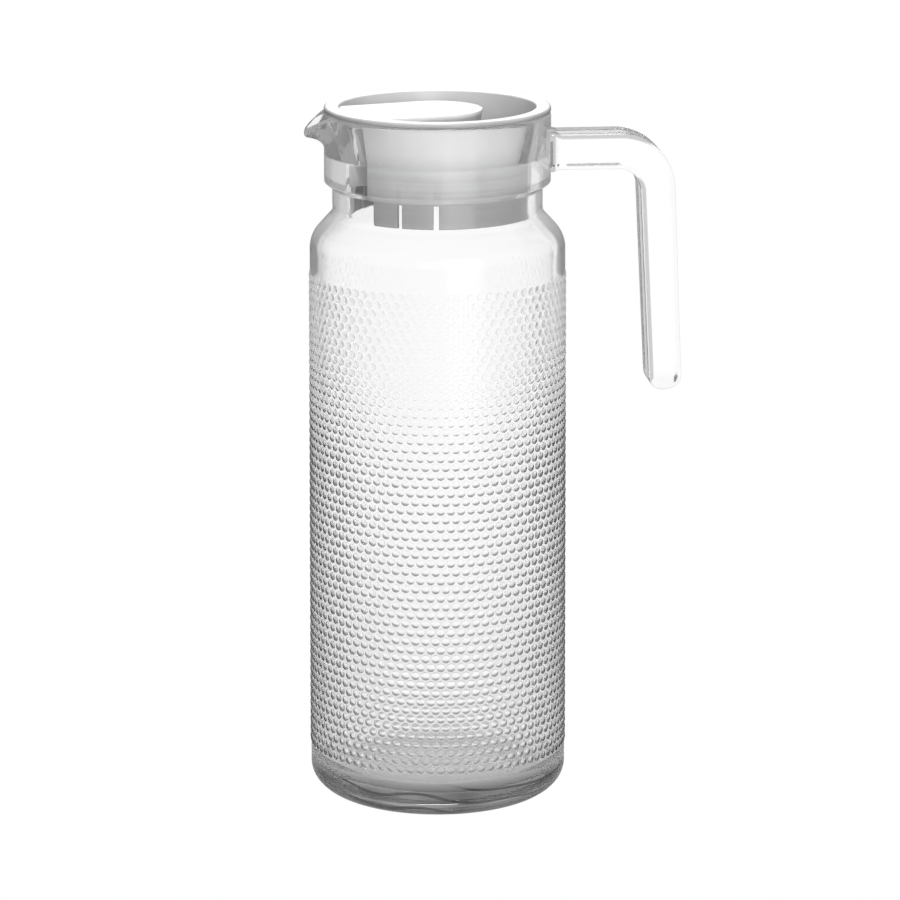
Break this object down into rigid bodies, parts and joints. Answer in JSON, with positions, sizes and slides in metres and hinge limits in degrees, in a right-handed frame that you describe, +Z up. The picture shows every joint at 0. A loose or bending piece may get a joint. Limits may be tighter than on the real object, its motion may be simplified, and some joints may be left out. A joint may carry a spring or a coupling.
{
  "type": "glass pitcher with lid",
  "caption": "Tall clear glass pitcher with beaded sides, a pulled spout and an open bar handle, closed by a round plastic lid that pours through a channel under its tongue.",
  "frame": {"origin": "centre of the ring-shaped face that the glass stands on, on the body's axis", "axes": "+Z up along the body's axis; +X from the body towards the handle, so the spout points along -X"},
  "size_m": [0.1405, 0.0962, 0.2625],
  "materials": {
    "glass": "clear, fire-polished",
    "lid": "satin"
  },
  "bodies": {
    "jug": {"glass_body": "glass", "glass_spout": "glass", "glass_handle": "glass"},
    "lid": {"lid_cap": "lid", "lid_channel": "lid", "lid_skirt": "lid"}
  },
  "joints": [
    {"name": "lid_lift", "type": "slide", "parent": "jug", "child": "lid", "axis": [0, 0, 1], "range_m": [0, 0.06]}
  ]
}
